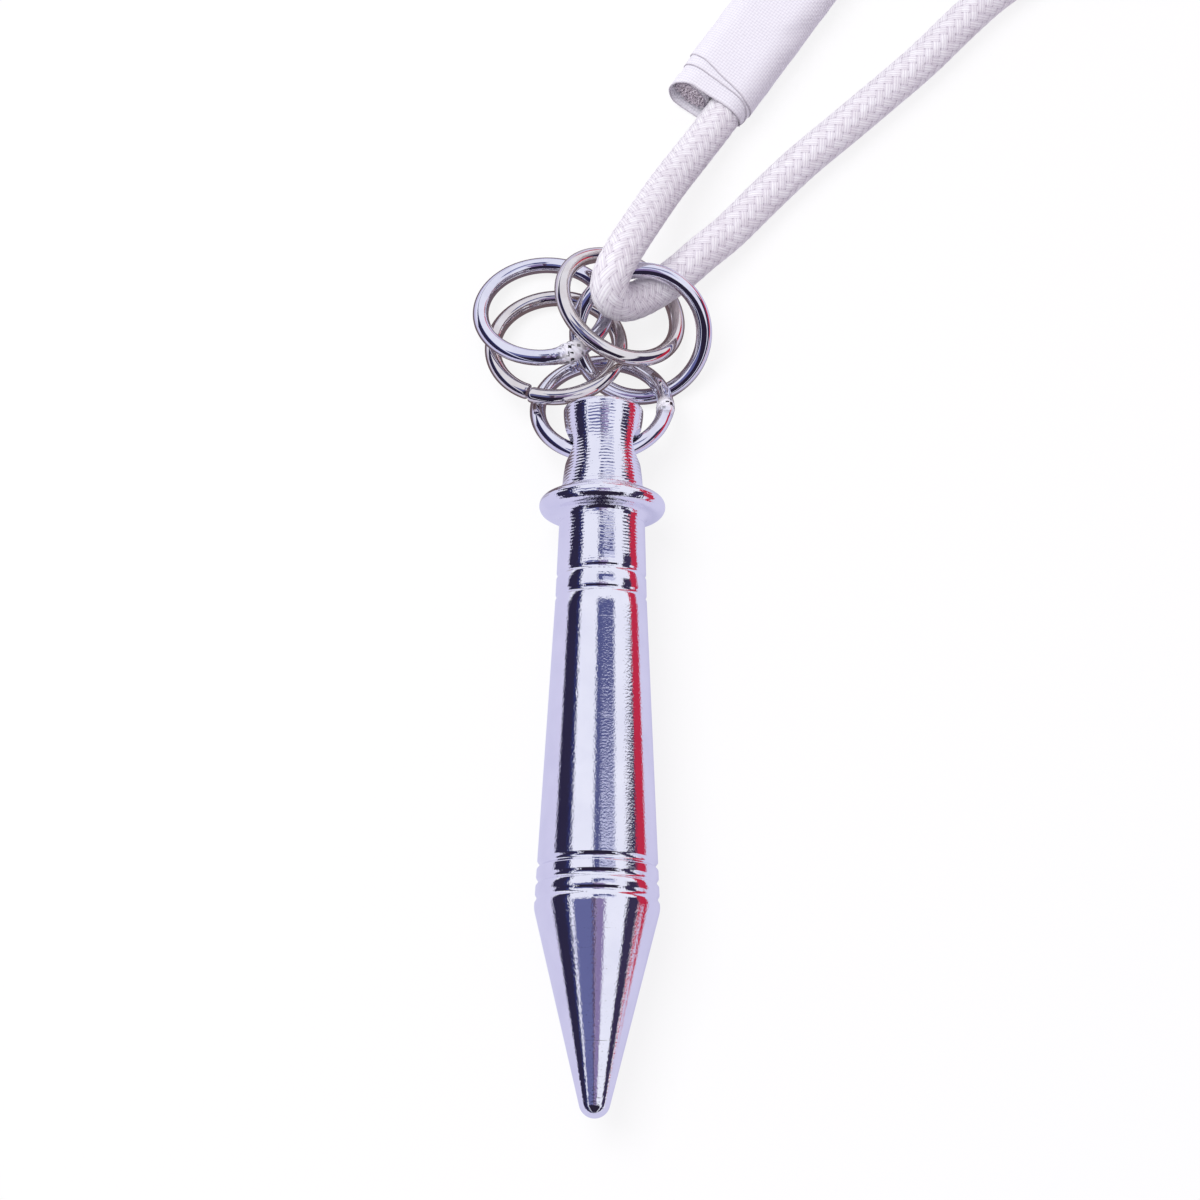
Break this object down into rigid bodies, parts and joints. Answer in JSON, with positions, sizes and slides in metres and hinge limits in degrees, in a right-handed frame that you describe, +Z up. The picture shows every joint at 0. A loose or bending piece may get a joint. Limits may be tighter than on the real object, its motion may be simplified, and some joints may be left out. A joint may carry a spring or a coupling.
{
  "type": "dog training pendant with jingle rings",
  "caption": "Turned pointed metal head on a bunch of loose linked wire rings, hung from a loop of braided cotton cord with a tape binding; it is shaken or dropped so that the rings jingle.",
  "frame": {"origin": "on the surface the part lies on, under the middle of the box round the head and its rings, without the cord", "axes": "+Z up off that surface, +Y along the head from its point to its neck and on towards the cord, +X to the right of that seen from above"},
  "size_m": [0.1298, 0.2601, 0.0193],
  "materials": {
    "polished_chrome": "polished chrome plate with fine turning marks at the neck",
    "nickel_plated_wire": "bright plated wire",
    "braided_cotton": "off-white braided cotton",
    "cotton_tape": "white plain-woven cotton tape"
  },
  "bodies": {
    "cord_loop": {"cord_front": "braided_cotton", "cord_coil": "braided_cotton", "cord_tail": "braided_cotton", "tape_binding": "cotton_tape", "coil_tie": "cotton_tape"},
    "hub": {"hub_ring": "nickel_plated_wire"},
    "neck_link": {"neck_ring": "nickel_plated_wire"},
    "head": {"head": "polished_chrome"},
    "welded_jingle": {"welded_ring": "nickel_plated_wire"},
    "split_jingle": {"split_ring": "nickel_plated_wire"},
    "plain_jingle": {"plain_ring": "nickel_plated_wire"}
  },
  "joints": [
    {"name": "hub_lift", "type": "hinge", "parent": "cord_loop", "child": "hub", "pos_m": [0.006, 0.062, 0.0109], "axis": [-1, 0, 0], "range_deg": [0, 8]},
    {"name": "neck_link_slide_round", "type": "hinge", "parent": "hub", "child": "neck_link", "pos_m": [0.00166, 0.04148, 0.0055], "axis": [-0.0698, 0.4193, 0.9052], "range_deg": [-12, 12]},
    {"name": "head_swing", "type": "hinge", "parent": "neck_link", "child": "head", "pos_m": [0.00196, 0.03349, 0.0097], "axis": [-1, 0, 0], "range_deg": [0, 40]},
    {"name": "welded_ring_turn", "type": "hinge", "parent": "hub", "child": "welded_jingle", "pos_m": [-0.00765, 0.05772, 0.00524], "axis": [-0.0549, 0.3679, 0.9282], "range_deg": [-60, 0]},
    {"name": "split_ring_turn", "type": "hinge", "parent": "hub", "child": "split_jingle", "pos_m": [-0.00563, 0.05196, 0.00437], "axis": [-0.0319, 0.3101, 0.9502], "continuous": true},
    {"name": "plain_ring_turn", "type": "hinge", "parent": "hub", "child": "plain_jingle", "pos_m": [0.00435, 0.0582, 0.00638], "axis": [0.4219, 0.2924, 0.8582], "continuous": true}
  ]
}
